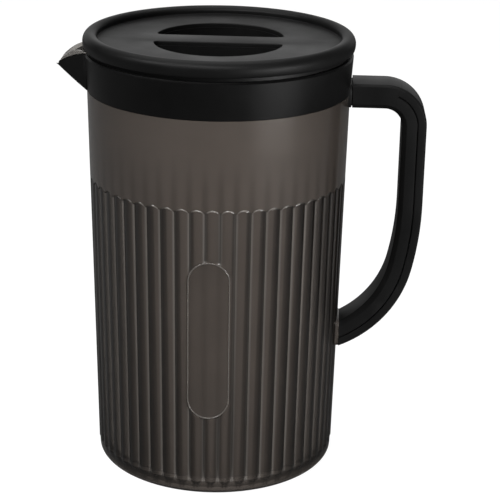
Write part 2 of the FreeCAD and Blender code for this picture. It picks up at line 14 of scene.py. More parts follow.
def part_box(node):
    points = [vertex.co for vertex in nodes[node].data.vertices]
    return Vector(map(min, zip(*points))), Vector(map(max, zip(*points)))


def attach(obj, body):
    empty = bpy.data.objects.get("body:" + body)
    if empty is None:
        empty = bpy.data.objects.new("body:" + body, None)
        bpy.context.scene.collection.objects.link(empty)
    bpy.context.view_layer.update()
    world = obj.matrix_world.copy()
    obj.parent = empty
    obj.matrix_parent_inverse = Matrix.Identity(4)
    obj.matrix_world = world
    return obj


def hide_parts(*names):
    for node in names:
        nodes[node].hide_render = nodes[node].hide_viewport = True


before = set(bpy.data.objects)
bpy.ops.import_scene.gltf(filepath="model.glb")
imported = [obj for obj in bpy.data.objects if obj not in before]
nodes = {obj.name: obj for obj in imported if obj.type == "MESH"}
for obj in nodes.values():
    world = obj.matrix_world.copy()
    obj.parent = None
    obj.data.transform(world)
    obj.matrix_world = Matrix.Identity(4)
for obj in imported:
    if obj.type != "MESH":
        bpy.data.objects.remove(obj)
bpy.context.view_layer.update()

# %% [markdown]
# The shapes are worked out in millimetres, because the jug was drawn in them. Levels and reaches that the
# frame already knows are read from its boxes, so the two models can't drift apart. On the real jug the lid's
# bead and the handle's strip are a few tenths smaller than the CAD has them, so these two reaches are
# trimmed.

# %% Levels and reaches from the frame
MM = 0.001
LID_TRIM = 0.3
SIDE_TRIM = 0.2


def corners_mm(node):
    """Lowest and highest corner of a CAD node in millimetres, to a tenth."""
    low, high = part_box(node)
    return np.round(np.array(low) / MM, 1), np.round(np.array(high) / MM, 1)


collar_low, collar_high = corners_mm("collar")
cap_high = corners_mm("lid_cap")[1]
grip_low, grip_high = corners_mm("handle_grip")
cover_high = corners_mm("handle_cover")[1]
COLLAR_TOP_Z = collar_high[2]
TIP_R = -collar_low[0]
BEAD_R = cap_high[0] - LID_TRIM
BEAD_TOP_Z = cap_high[2]
ARM_TOP_Z = grip_high[2]
SIDE_X = cover_high[0] - SIDE_TRIM
LUG_X = grip_low[0]
print("collar top", COLLAR_TOP_Z, "tip", TIP_R, "lid radius", BEAD_R)
print("handle reach", SIDE_X, "lug face", LUG_X)

# %% [markdown]
# Every new piece is a grid of points. Rows run along a profile and columns run round the axis, or round a
# section. One helper turns such grids into a mesh: each point joins to its neighbours in quads, the last
# column joins to the first, and points that fall together, as at a pole, are merged. Edges sharper than a set
# angle stay crisp.

# %% From point grids to a mesh piece


def skin(name, *grids, sharp=32.0, marks=None):
    """Object from grids of shape (rows, columns, 3) in mm; quad (i, j) joins rows i, i+1 and columns j, j+1.
    marks holds values per point, which materials read as attributes."""
    points = np.concatenate([grid.reshape(-1, 3) for grid in grids]) * MM
    faces = []
    first = 0
    for grid in grids:
        rows, columns = grid.shape[:2]
        here = first + np.arange(rows * columns).reshape(rows, columns)
        beside = np.roll(here, -1, axis=1)
        faces.append(np.stack([here[:-1], beside[:-1], beside[1:], here[1:]], axis=-1).reshape(-1, 4))
        first += rows * columns
    mesh = bpy.data.meshes.new(name)
    mesh.from_pydata(points, [], np.concatenate(faces))
    for mark, values in (marks or {}).items():
        mesh.attributes.new(mark, "FLOAT", "POINT").data.foreach_set("value", values.ravel())
    built = bmesh.new()
    built.from_mesh(mesh)
    bmesh.ops.remove_doubles(built, verts=built.verts, dist=0.002 * MM)
    bmesh.ops.recalc_face_normals(built, faces=built.faces)
    built.to_mesh(mesh)
    built.free()
    mesh.shade_smooth()
    mesh.set_sharp_from_angle(angle=math.radians(sharp))
    piece = bpy.data.objects.new(name, mesh)
    bpy.context.scene.collection.objects.link(piece)
    mesh.calc_loop_triangles()
    print(name, len(mesh.vertices), "points", len(mesh.loop_triangles), "triangles")
    return piece


print("helper", skin.__name__, "merges points closer than 0.002 mm")

# %% [markdown]
# The vessel's wall is a slight cone. Fifty-four convex reeds run up it and end in arches below a plain band.
# Their crests are flush with the band, so it is a shallow groove that draws each arch. Sculpting them would
# take days, but as a formula they are short. Across one reed, u runs from -1 in one valley to 0 on the crest
# and 1 in the next valley, and the crest falls off with u squared. At the foot each reed ends in a round tip,
# and the valleys run out into a plain ring.

# %% Wall and reed formulas
BAND_TOP_Z = 202.0
BAND_TOP_R = 67.7
WALL_DRAFT = 0.018
WALL = 3.2
REED_COUNT = 54
REED_PHASE = 4.8
REED_SAG = 1.1
REED_PROUD = 0.05
REED_GROOVE = 0.5
REED_TOP_Z = BAND_TOP_Z - 45.0
REED_ARCH = 2.0
REED_SLOPE = 1.5
VALLEY = REED_PROUD - REED_SAG
DEEPEST = VALLEY - 0.05
FOOT_Z = 6.0
FOOT_PROUD = -0.35
FOOT_SLOPE = 0.9
FOOT_ARCH = 3.0
LEDGE_SLOPE = 0.16

# Columns stand closer together at the valleys, where the surface turns fastest
one_reed = np.array([-1.0, -0.93, -0.85, -0.68, -0.45, -0.22, 0.0, 0.22, 0.45, 0.68, 0.85, 0.93])
across = np.tile(one_reed, REED_COUNT)
reed_number = np.repeat(np.arange(REED_COUNT), len(one_reed))
theta = np.radians(-90.0 + REED_PHASE) + 2.0 * np.pi * (reed_number + (across + 1.0) / 2.0) / REED_COUNT
arch_z = REED_TOP_Z - REED_ARCH * across ** 2


def wall_r(z):
    """Radius of the plain wall: it narrows downward at a fixed draft."""
    return BAND_TOP_R - WALL_DRAFT * (BAND_TOP_Z - z)


def reed_height(z):
    """Height over the plain wall. A reed is crest − sag·u², cut down to a shallow furrow below the arch z =
    top − arch·u²; above the arch it is 0. At the foot it rises from the ring along z = foot + arch·u², and its
    valley falls from the ring by the ledge's slope."""
    reed = REED_PROUD - REED_SAG * across ** 2
    reed = np.minimum(reed, (arch_z - z) / REED_SLOPE - REED_GROOVE)
    foot = FOOT_PROUD + FOOT_SLOPE * (z - FOOT_Z - FOOT_ARCH * across ** 2)
    reed = np.minimum(np.maximum(reed, DEEPEST), np.maximum(foot, VALLEY))
    reed = np.maximum(reed, FOOT_PROUD - LEDGE_SLOPE * (z - FOOT_Z))
    return np.where(z < arch_z, reed, 0.0)


crest_r = wall_r(BAND_TOP_Z / 2.0) + REED_PROUD
print("reed pitch in degrees", round(360 / REED_COUNT, 2), "crest radius at mid height", round(crest_r, 2))

# %% [markdown]
# A plain upright plate with round ends lies between the reeds at the front. Its outline is a stadium, and the
# signed distance to a stadium is known exactly: the distance to a line segment, less the radius. Inside the
# outline the reeds give way to a plain surface just below their crests, and a thin bead follows the outline.

# %% Oval plate
PLATE_W = 21.6
PLATE_H = 86.0
PLATE_Z = 86.7
PLATE_BORDER = 0.9
PLATE_PROUD = -0.2
plate_half = PLATE_W / 2.0
plate_straight = PLATE_H / 2.0 - plate_half


def ease(t):
    """Smooth step: 3t² − 2t³ between 0 and 1."""
    t = np.clip(t, 0.0, 1.0)
    return t * t * (3.0 - 2.0 * t)


def plate_distance(x, z):
    """Distance to the stadium's outline, negative inside: |point − segment| − radius."""
    return np.hypot(x, np.maximum(np.abs(z - PLATE_Z) - plate_straight, 0.0)) - plate_half


def vessel_outside(z):
    """Radius of the vessel's outside at each row and column of heights z."""
    height = reed_height(z)
    r = wall_r(z)
    distance = plate_distance(r * np.cos(theta), z)
    inside = ease(0.5 - distance / PLATE_BORDER) * (np.sin(theta) < 0.0)
    return r + height + (PLATE_PROUD - height) * inside


print("plate in mm:", PLATE_W, "by", PLATE_H, "with its middle at", PLATE_Z)

# %% [markdown]
# The spout is a flat-sided beak. Seen from above it is a wedge, so at an angle phi from the spout's direction
# its side lies at r = tip·s / (sin phi + s·cos phi), where s is the wedge's slope. The collar and the
# vessel's own lip inside it share this formula, the lip with its sides moved in.

# %% Beak formulas
COLLAR_WALL = 2.0
COLLAR_FLARE = 1.2
LIP_T = 1.6
NECK_OUT_R = BAND_TOP_R - COLLAR_WALL - 0.3
NECK_IN_R = NECK_OUT_R - 2.4
RIM_Z = COLLAR_TOP_Z - LIP_T
TIP_Z = COLLAR_TOP_Z - 9.0
SPOUT_HALF = math.radians(13.04)
CREASE_R = BAND_TOP_R + COLLAR_FLARE / 2.0
CREASE_X = CREASE_R * math.cos(SPOUT_HALF)
BEAK_SLOPE = CREASE_R * math.sin(SPOUT_HALF) / (TIP_R - CREASE_X)
RIM_BULGE = 1.3
BEAK_WALL = 0.6
LIP_OUT = BEAK_WALL + 0.1
LIP_IN = LIP_OUT + 1.2
CHANNEL_Z = BAND_TOP_Z + 6.2
CHANNEL_RISE = 0.244
GROOVE_W = 1.2


def beak_r(phi, inset):
    """Radius of the beak's flat side at angle phi from its tip, with the sides moved in; 0 off the beak."""
    tip = TIP_R - inset * math.hypot(1.0, BEAK_SLOPE) / BEAK_SLOPE
    side = tip * BEAK_SLOPE / (np.sin(np.abs(phi)) + BEAK_SLOPE * np.cos(phi))
    return np.where(np.abs(phi) < 2.0 * SPOUT_HALF, side, 0.0)


def bowed(x, x0, z0, x1, z1, bulge):
    """Height at x on a bowed line: straight from (x0, z0) to (x1, z1) plus 4·bulge·t·(1 − t)."""
    t = np.clip((x - x0) / (x1 - x0), 0.0, 1.0)
    return z0 + (z1 - z0) * t + 4.0 * bulge * t * (1.0 - t)


def channel_z(x):
    """Height of the pouring channel's floor, level inside the neck and rising to the tip."""
    return CHANNEL_Z + CHANNEL_RISE * np.maximum(x - NECK_IN_R, 0.0)


print("beak from", round(CREASE_X, 1), "to", TIP_R, "tip", TIP_Z, "high, collar top", COLLAR_TOP_Z)

# %% [markdown]
# The vessel is one closed wall: outside from the foot to the neck, over the pouring lip, and down the inside
# to the floor. A closed wall matters for clear plastic, because light has to enter and leave it. Rows crowd
# together only where the shape turns: at the foot, round the plate's ends and along the arches, where they
# follow the arch itself.

# %% Rows of the vessel's outside
plate_low = PLATE_Z - PLATE_H / 2.0
plate_high = PLATE_Z + PLATE_H / 2.0
foot_steps = np.array([0.0, 0.3, 0.6, 0.9, 1.2, 1.5, 1.9, 2.3, 2.7, 3.1, 3.6, 9.0, 18.0, 28.0])
straight_z = np.concatenate([
    FOOT_Z + foot_steps,
    np.linspace(plate_low - 1.0, plate_low + 13.0, 20),
    np.linspace(plate_low + 18.0, plate_high - 18.0, 9),
    np.linspace(plate_high - 13.0, plate_high + 1.0, 20),
    REED_TOP_Z - np.array([20.0, 14.0, 9.0, 6.0])])
arch_steps = np.array([-3.2, -2.4, -1.8, -1.4, -1.1, -0.85, -0.6, -0.3, -0.02, 0.03, 0.3, 0.8, 1.4, 2.2])
band_z = np.linspace(REED_TOP_Z + 4.0, BAND_TOP_Z, 9)
outside_z = np.concatenate([
    straight_z[:, None] + 0.0 * theta,
    arch_z + arch_steps[:, None],
    band_z[:, None] + 0.0 * theta])
print("rows of the outside:", len(outside_z), "with", len(theta), "points each")

# %% [markdown]
# The vessel's own lip lines the collar. On the beak it stands a little over the black rim, which is why a
# paler sliver shows there. Its rim is level round the neck and bows up along the beak, but under the lid it
# keeps below the collar's top, so that the lid can close. A narrow groove leads the drink to the tip.

# %% Neck and pouring lip
LIP_BOW = 5.3
LIP_FREE_X = 67.0
LIP_EDGE = 0.3
CHANNEL_T = 1.6
phi = np.arctan2(np.sin(theta), -np.cos(theta))
lip_out = np.maximum(NECK_OUT_R, beak_r(phi, LIP_OUT))
lip_in = np.maximum(NECK_IN_R, beak_r(phi, LIP_IN))


def lip_rim_z(r):
    """Rim of the vessel's own lip: level at the neck, bowed over the beak's rim and down to the tip."""
    x = r * np.cos(phi)
    on_beak = bowed(x, NECK_IN_R, RIM_Z, TIP_R, TIP_Z, LIP_BOW)
    on_beak = np.where(x < LIP_FREE_X, np.minimum(on_beak, COLLAR_TOP_Z - 0.2), on_beak)
    rim = np.where(np.abs(phi) < 2.0 * SPOUT_HALF, on_beak, RIM_Z)
    rim = np.where(r > NECK_OUT_R + 0.05, rim, RIM_Z)
    in_groove = (np.abs(r * np.sin(phi)) < GROOVE_W / 2.0) & (np.cos(phi) > 0.0)
    return np.where(in_groove, np.minimum(rim, channel_z(x) + 0.1), rim)


inner_edge_z = lip_rim_z(lip_in) - LIP_EDGE
neck_rows = [
    (NECK_OUT_R, BAND_TOP_Z),
    (NECK_OUT_R, channel_z(NECK_OUT_R * np.cos(phi)) - CHANNEL_T),
    (lip_out, channel_z(lip_out * np.cos(phi)) - CHANNEL_T),
    (lip_out, lip_rim_z(lip_out) - LIP_EDGE),
    (lip_out - LIP_EDGE, lip_rim_z(lip_out)),
    (lip_in + LIP_EDGE, lip_rim_z(lip_in)),
    (lip_in, inner_edge_z),
    (lip_in, np.minimum(channel_z(lip_in * np.cos(phi)), inner_edge_z)),
    (NECK_IN_R, np.minimum(channel_z(NECK_IN_R * np.cos(phi)), inner_edge_z))]
print("rows of the neck:", len(neck_rows), "lip reaches", round(float(lip_out.max()), 1))

# %% [markdown]
# The jug stands on a narrow ring, and the bottom is drawn up a little inside it, so that it can't rock. The
# heel is a quarter circle. Inside, the wall runs down at an even thickness to a rounded corner and a flat
# floor. With every row known, the profile is turned into one grid.

# %% Foot, inside and the whole grid
FLOOR = 4.6
FOOT_R = wall_r(0.0) + FOOT_PROUD
HEEL = 2.4
PUNT_R = FOOT_R - 8.6
PUNT = 1.2
NECK_STEP = 1.2
INNER_HEEL = 6.0


def turned(r, z, angles):
    """Points of profile (r, z) turned to each angle: x = r cos, y = r sin."""
    r, z, angles = np.broadcast_arrays(r, z, angles)
    return np.stack([r * np.cos(angles), r * np.sin(angles), z], axis=-1)


heel = np.radians(np.linspace(0.0, 90.0, 7))
foot_rows = [(0.0, PUNT), (0.3 * PUNT_R, PUNT), (0.7 * PUNT_R, PUNT), (PUNT_R, PUNT), (PUNT_R + PUNT, 0.0)]
foot_rows += list(zip(FOOT_R - HEEL * (1.0 - np.sin(heel)), HEEL * (1.0 - np.cos(heel))))
inner_r = wall_r(FLOOR + INNER_HEEL) - WALL
inside_z = np.concatenate([[194.0], np.linspace(180.0, 20.0, 7)])
inside_rows = [(NECK_IN_R, BAND_TOP_Z - NECK_STEP)]
inside_rows += list(zip(wall_r(inside_z) - WALL, inside_z))
inner_turn = INNER_HEEL * (1.0 - np.cos(heel))
inside_rows += list(zip(inner_r - inner_turn, FLOOR + INNER_HEEL * (1.0 - np.sin(heel))))
inside_rows += [(0.6 * inner_r, FLOOR), (0.3 * inner_r, FLOOR), (0.0, FLOOR)]

vessel_grid = np.concatenate([
    np.stack([turned(r, z, theta) for r, z in foot_rows]),
    turned(vessel_outside(outside_z), outside_z, theta),
    np.stack([turned(r, z, theta) for r, z in neck_rows + inside_rows])])
print("rows of the vessel:", len(vessel_grid), "foot radius", round(FOOT_R, 2))

# %% [markdown]
# Shade and highlights on the clear wall are painted into its colour, because a material can't find those
# places by itself: every point of the wall carries marks from 0 to 1. One mark is painted shade: it darkens
# the valleys, the plate and the foot, and adds the soft streaks of the far wall's reeds, which a hazy wall
# would blur away. The other mark is a painted highlight on the reeds' edges and the rims of their arches.

# %% Vessel and its marks of painted shade and highlight
VALLEY_W = 0.09
EDGE_U = 0.90
EDGE_W = 0.08
EDGE_LIGHT = 0.5
RIM_U = 0.7
RIM_LIGHT = 0.9
PLATE_SHADE = 0.4
PLATE_STREAK = 0.2
BAND_STREAK = 0.5
BAND_FADE_H = 30.0
FOOT_FADE_H = 1.5

row = np.arange(len(vessel_grid))[:, None]
first_neck = len(foot_rows) + len(outside_z)
is_outside = (row >= len(foot_rows)) & (row < first_neck)
is_inside = row >= len(vessel_grid) - len(inside_rows)
is_lip = (row >= first_neck + 2) & (row < first_neck + 8) & (np.abs(phi) < SPOUT_HALF)
x, y, z = np.moveaxis(vessel_grid, -1, 0)
in_reeds = (np.hypot(x, y) - wall_r(z) < 0.5 * VALLEY) & is_outside
under_arch = z < arch_z
on_plate = (plate_distance(x, z) < 0.0) & (y < 0.0)
reeded = 1.0 * (is_outside & under_arch & ~on_plate)

streak = ease((np.abs(across) - 0.3) / 0.6)
band_fade = 1.0 - ease((z - REED_TOP_Z) / BAND_FADE_H)
foot_fade = 1.0 - ease((z - FOOT_Z + FOOT_FADE_H) / FOOT_FADE_H)
# Painted shade: dark valley lines, a darker plate, streaks in the band and a dark foot
painted_shade = np.exp(-(((1.0 - np.abs(across)) / VALLEY_W) ** 2)) * in_reeds
painted_shade = np.maximum(painted_shade, (PLATE_SHADE + PLATE_STREAK * streak) * on_plate * is_outside)
painted_shade = np.maximum(painted_shade, BAND_STREAK * streak * band_fade * (is_outside & ~under_arch))
painted_shade = np.maximum(painted_shade, foot_fade * ~is_inside)

# Painted highlight along each reed's edges near the valleys, and below it on the rims of the arches
edge = np.exp(-(((EDGE_U - np.abs(across)) / EDGE_W) ** 2)) * in_reeds
first_arch = len(foot_rows) + len(straight_z)
end_row = first_arch + np.flatnonzero((arch_steps > -0.7) & (arch_steps < 0.0))
rim = 1.0 * np.isin(row, end_row) * (np.abs(across) < RIM_U)
vessel = skin("vessel", vessel_grid, marks={
    "painted_shade": painted_shade, "inside": 1.0 * is_inside + 0.0 * painted_shade, "lip": 1.0 * is_lip, "reeded": reeded,
    "painted_highlight": np.maximum(RIM_LIGHT * rim, EDGE_LIGHT * edge)})

# %% [markdown]
# The plate's bead is a thin round cord of plastic along the stadium's outline, half sunk in the wall. A small
# circle is carried round the outline; the outline's direction and the wall's outward direction span the
# circle's plane.

# %% Bead round the plate
BEAD_WIRE = 0.42
BEAD_LIGHT = 0.25


def stadium_outline(half, straight, count):
    """Points and outward directions of a stadium, by even steps of length along its four stretches."""
    lengths = np.array([2.0 * straight, math.pi * half, 2.0 * straight, math.pi * half])
    ends = np.cumsum(lengths)
    s = np.linspace(0.0, ends[-1], count, endpoint=False)
    turn_up = np.clip((s - ends[0]) / half, 0.0, math.pi)
    turn_down = np.clip((s - ends[2]) / half, 0.0, math.pi)
    angle = turn_up + turn_down
    climb = np.clip(s, 0.0, lengths[0]) - np.clip(s - ends[1], 0.0, lengths[2])
    out = np.stack([np.cos(angle), np.sin(angle)], axis=-1)
    centre_z = climb - straight
    return np.stack([half * out[:, 0], centre_z + half * out[:, 1]], axis=-1), out


def dress(piece, body, node):
    """The piece moves with a CAD body and stands in for a CAD node, which is hidden."""
    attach(piece, body)
    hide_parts(node)


flat, sideways = stadium_outline(plate_half - PLATE_BORDER / 2.0, plate_straight, 240)
bead_x, bead_z = flat[:, 0], flat[:, 1] + PLATE_Z
bead_wall = wall_r(bead_z) + PLATE_PROUD
bead_y = -np.sqrt(bead_wall ** 2 - bead_x ** 2)
bead_centre = np.stack([bead_x, bead_y, bead_z], axis=-1)
outward = np.stack([bead_x, bead_y, 0.0 * bead_z], axis=-1) / bead_wall[:, None]
sideways = np.stack([sideways[:, 0], 0.0 * bead_x, sideways[:, 1]], axis=-1)
sideways -= np.sum(sideways * outward, axis=-1, keepdims=True) * outward
sideways /= np.linalg.norm(sideways, axis=-1, keepdims=True)
ring = np.radians(np.linspace(0.0, 360.0, 10, endpoint=False))
bead_points = bead_centre[:, None] + BEAD_WIRE * (
    np.cos(ring)[None, :, None] * sideways[:, None] + np.sin(ring)[None, :, None] * outward[:, None])
bead_points = np.concatenate([bead_points, bead_points[:1]])
# A weak painted highlight along the whole bead
bead_marks = {"painted_highlight": np.full(bead_points.shape[:2], BEAD_LIGHT)}
plate_bead = skin("plate_bead", bead_points, sharp=80.0, marks=bead_marks)
for piece in (vessel, plate_bead):
    dress(piece, "jug", "jug_body")

# %% [markdown]
# The collar is a moulded band that grips the neck, drawn out to the beak on one side. Its columns sit exactly
# on the beak's tip and creases, and close pairs of columns stand at the notch in the tip and where the lip
# opens to the channel, so that those edges are crisp.

# %% Columns and heights of the collar
TOP_ROUND = 0.8
KEEL_BULGE = -0.3
CHANNEL_GAP = 0.15
LIP_R = NECK_IN_R + 0.4
COLLAR_IN_R = BAND_TOP_R - COLLAR_WALL
opening = np.linspace(0.0, SPOUT_HALF, 400)
open_angle = opening[np.argmin(np.abs(beak_r(opening, BEAK_WALL) - LIP_R))]
notch = math.asin(GROOVE_W / 2.0 / TIP_R)
tiny = math.radians(0.02)
half_angles = np.unique(np.concatenate([
    np.linspace(0.0, SPOUT_HALF, 9), [notch - tiny, notch + tiny, open_angle - tiny, open_angle + tiny],
    np.linspace(SPOUT_HALF, math.pi, 84)]))
collar_phi = np.concatenate([-half_angles[:0:-1], half_angles])[1:]
collar_theta = math.pi + collar_phi
beak_side = np.where(np.abs(collar_phi) <= SPOUT_HALF, beak_r(collar_phi, 0.0), 0.0)
beak_inner = np.where(np.abs(collar_phi) < open_angle, beak_r(collar_phi, BEAK_WALL), 0.0)


def flare_r(z):
    """Radius of the collar's slightly flared outside."""
    return BAND_TOP_R + COLLAR_FLARE * (z - BAND_TOP_Z) / (COLLAR_TOP_Z - BAND_TOP_Z)


def collar_rim_z(r):
    """Rim height: level round the neck, bowed down to the tip along the beak, notched at the tip."""
    x = r * np.cos(collar_phi)
    rim = np.where(beak_side > 0.0, bowed(x, CREASE_X, COLLAR_TOP_Z, TIP_R, TIP_Z, RIM_BULGE), COLLAR_TOP_Z)
    return np.where(np.abs(collar_phi) < notch, np.minimum(rim, TIP_Z + 0.3), rim)


def side_r(z):
    return np.maximum(flare_r(z), beak_side)


beak_x = beak_side * np.cos(collar_phi)
keel_z = bowed(beak_x, CREASE_X, BAND_TOP_Z, TIP_R, TIP_Z, KEEL_BULGE)
keel_z = np.where(beak_side > 0.0, keel_z, BAND_TOP_Z)
rim_z = collar_rim_z(np.maximum(beak_side, flare_r(COLLAR_TOP_Z)))
shoulder_z = np.maximum(rim_z - TOP_ROUND, keel_z + 0.05)
is_open = np.abs(collar_phi) < open_angle
inner_top = np.maximum(LIP_R, beak_inner)
under_z = np.where(is_open, channel_z(inner_top * np.cos(collar_phi)) - CHANNEL_T - CHANNEL_GAP, RIM_Z)
back_z = np.where(is_open, channel_z(COLLAR_IN_R * np.cos(collar_phi)) - CHANNEL_T - CHANNEL_GAP, RIM_Z)

print("collar columns", len(collar_theta), "opening in degrees", round(2 * math.degrees(open_angle), 1))

# %% [markdown]
# Each column's profile runs from the lower edge, out along the keel, up the side, over a small rounding, and
# down the inside. Edges are broken by a few tenths, because a moulded edge is never knife sharp and only a
# broken one catches light.

# %% Profile of the collar
EDGE_BREAK = 0.3
collar_rows = [(COLLAR_IN_R, BAND_TOP_Z)]
low_r = BAND_TOP_R - EDGE_BREAK
low_z = keel_z + EDGE_BREAK
collar_rows += [(low_r + (side_r(BAND_TOP_Z) - BAND_TOP_R) * t, BAND_TOP_Z + (keel_z - BAND_TOP_Z) * t)
                for t in (0.0, 0.5, 1.0)]
side_levels = [low_z + (shoulder_z - low_z) * t for t in np.linspace(0, 1, 7)]
collar_rows += [(side_r(level), level) for level in side_levels]
collar_rows += [(side_r(shoulder_z) - TOP_ROUND * t, shoulder_z + (rim_z - shoulder_z) * t ** 1.3)
                for t in (0.12, 0.88, 1.0)]
inner_rim_z = np.where(is_open, collar_rim_z(inner_top), COLLAR_TOP_Z)
collar_rows += [(inner_top + EDGE_BREAK, inner_rim_z), (inner_top, inner_rim_z - EDGE_BREAK),
                (inner_top, under_z), (COLLAR_IN_R, back_z), (COLLAR_IN_R, BAND_TOP_Z)]
collar_grid = np.stack([turned(r, z, collar_theta) for r, z in collar_rows])
print("collar rows", len(collar_grid))

# %% [markdown]
# On the handle's side the collar carries a rounded pad with a slightly smaller land on it. The land leaves
# the thin shadow line between collar and handle. Both are rounded rectangles carried a short way outward.

# %% Pad under the handle's arm
HANDLE_W = 22.0
HANDLE_T = 12.6
PAD_X = BAND_TOP_R + 1.1
PAD_STEP = 0.5


def rounded_outline(corners, radius, steps=5):
    """Closed outline whose corners become arcs: an arc's centre is r / sin(half) up the corner's bisector."""
    corner = np.asarray(corners, float)
    radius = np.broadcast_to(np.asarray(radius, float), len(corner))
    back = np.roll(corner, 1, axis=0) - corner
    ahead = np.roll(corner, -1, axis=0) - corner
    back /= np.linalg.norm(back, axis=1, keepdims=True)
    ahead /= np.linalg.norm(ahead, axis=1, keepdims=True)
    half = np.arccos(np.clip(np.sum(back * ahead, axis=1), -1.0, 1.0)) / 2.0
    bisector = (back + ahead) / np.linalg.norm(back + ahead, axis=1, keepdims=True)
    centre = corner + bisector * (radius / np.sin(half))[:, None]
    start = corner + back * (radius / np.tan(half))[:, None] - centre
    end = corner + ahead * (radius / np.tan(half))[:, None] - centre
    first = np.arctan2(start[:, 1], start[:, 0])
    sweep = (np.arctan2(end[:, 1], end[:, 0]) - first + math.pi) % (2.0 * math.pi) - math.pi
    angle = first[:, None] + sweep[:, None] * np.linspace(0.0, 1.0, steps)
    arc = np.stack([np.cos(angle), np.sin(angle)], axis=-1) * radius[:, None, None]
    return (centre[:, None] + arc).reshape(-1, 2)


def rectangle(half_w, half_h):
    return [(-half_w, -half_h), (half_w, -half_h), (half_w, half_h), (-half_w, half_h)]


def boss(half_w, half_h, radius, x0, x1, z, soften):
    """Rounded rectangle carried from x0 to x1 along X, with a softened front edge and closed ends."""
    insets = [(half_w, x0), (0.0, x0), (0.0, x1 - soften), (0.3 * soften, x1 - 0.3 * soften), (soften, x1),
              (half_w, x1)]
    rows = []
    for inset, x in insets:
        plan = np.zeros((20, 2))
        if inset < half_w:
            plan = rounded_outline(rectangle(half_w - inset, half_h - inset), radius)
        rows.append(np.stack([np.full(len(plan), x), plan[:, 0], plan[:, 1] + z], axis=-1))
    return np.stack(rows)


pad_z = ARM_TOP_Z - HANDLE_T / 2.0
pad = boss(HANDLE_W / 2 + 0.3, HANDLE_T / 2 - 0.3, 2.2, BAND_TOP_R - 3.0, PAD_X - PAD_STEP, pad_z, 0.3)
land = boss(HANDLE_W / 2 - 1.2, HANDLE_T / 2 - 1.2, 0.8, BAND_TOP_R, PAD_X, pad_z, 0.05)
collar = skin("collar_band", collar_grid, pad, land)
dress(collar, "jug", "collar")

# %% [markdown]
# At the handle's lower end the vessel has a small lug of its own plastic, which the grip is screwed to. It is
# the same boss as the pad, with its back sunk in the wall behind the reeds.

# %% Lug at the handle's lower end
LUG_LOW_Z = 63.3
LUG_HIGH_Z = 77.4
LUG_W = 21.0
LUG_SUNK = 2.5
lug_z = (LUG_LOW_Z + LUG_HIGH_Z) / 2.0
lug_half_h = (LUG_HIGH_Z - LUG_LOW_Z) / 2.0
lug = skin("handle_lug", boss(LUG_W / 2.0, lug_half_h, 2.0, wall_r(lug_z) - LUG_SUNK, LUG_X, lug_z, 0.3))
dress(lug, "jug", "jug_body")

# %% [markdown]
# The handle is one section carried along a path of a straight arm, a tight bend, a straight grip and two arcs
# that sweep in to the wall. A point of the section lies o millimetres inside the outer edge and y millimetres
# sideways, so on every arc its radius is the arc's radius less o. The last arc ends where each point meets
# the lug's upright face.

# %% Handle path
ARM_L = 16.7
GRIP_L = 41.6
ARM_X = PAD_X + ARM_L
BEND_R = SIDE_X - ARM_X
BEND_Z = ARM_TOP_Z - BEND_R
GRIP_END_Z = BEND_Z - GRIP_L
SWEEP_R1 = 167.0
SWEEP_A1 = math.radians(12.7)
SWEEP_R2 = 63.3
sweep_1 = np.array([SIDE_X - SWEEP_R1, GRIP_END_Z])
sweep_2 = sweep_1 + (SWEEP_R1 - SWEEP_R2) * np.array([math.cos(SWEEP_A1), -math.sin(SWEEP_A1)])


def arc_rows(centre, radius, angle):
    """Points at distance radius from centre; angle is counted from +X towards +Z."""
    x = centre[0] + radius * np.cos(angle)
    z = centre[1] + radius * np.sin(angle)
    return np.stack(np.broadcast_arrays(x, z), axis=-1)


def carried(section, bend_from, bend_to, arm=False, rest=False):
    """Rows of a section (o, y) along the handle: arm, part of the bend in radians from the top, and rest."""
    o, y = section[:, 0], section[:, 1]
    rows = []
    if arm:
        x = np.linspace(PAD_X, ARM_X, 4)[:-1, None]
        rows.append(np.stack(np.broadcast_arrays(x, ARM_TOP_Z - o), axis=-1))
    turn = math.pi / 2.0 - np.linspace(bend_from, bend_to, 4 + int(12 * (bend_to - bend_from)))[:, None]
    rows.append(arc_rows((ARM_X, BEND_Z), BEND_R - o, turn))
    if rest:
        z = np.linspace(BEND_Z, GRIP_END_Z, 5)[1:, None]
        rows.append(np.stack(np.broadcast_arrays(SIDE_X - o, z), axis=-1))
        rows.append(arc_rows(sweep_1, SWEEP_R1 - o, -SWEEP_A1 * np.linspace(0.0, 1.0, 11)[1:, None]))
        last = -np.arccos((LUG_X - sweep_2[0]) / (SWEEP_R2 - o))
        share = np.linspace(0, 1, 21)[1:, None]
        rows.append(arc_rows(sweep_2, SWEEP_R2 - o, -SWEEP_A1 + (last + SWEEP_A1) * share))
    plan = np.concatenate(rows)
    sides = np.broadcast_to(y, plan.shape[:2])
    return np.stack([plan[..., 0], sides, plan[..., 1]], axis=-1)


def capped(grid):
    """The grid with its first and last row drawn in to their middle points, which closes the ends."""
    ends = [np.broadcast_to(grid[i].mean(axis=0), grid[i].shape)[None] for i in (0, -1)]
    return np.concatenate([ends[0], grid, ends[1]])


print("bend radius", round(BEND_R, 2), "grip from", round(BEND_Z, 1), "down to", round(GRIP_END_Z, 1))

# %% [markdown]
# The photo shows a dark seam from the bend to the lower end: an outer strip is let into the grip. Grip and
# strip share the path. The grip's section is whole along the arm and loses the strip's thickness from the
# seam on; because both sections have the same number of points, the step between them is simply the next row
# of the grid. A tongue on the strip's back closes the seam, so that no light shows through it.

# %% Grip and outer strip
OUTER_CHAMFER = 0.9
INNER_CHAMFER = 2.4
FINE_DEPTH = 0.7
FINE_HALF_W = 0.35
FINE_INSET = 0.55
COVER_T = 4.4
COVER_CHAMFER = 0.3
SEAM = 0.4
SEAM_START = math.radians(22.0)
END_GAP = 0.08
TONGUE_W = 17.2
half_w = HANDLE_W / 2.0


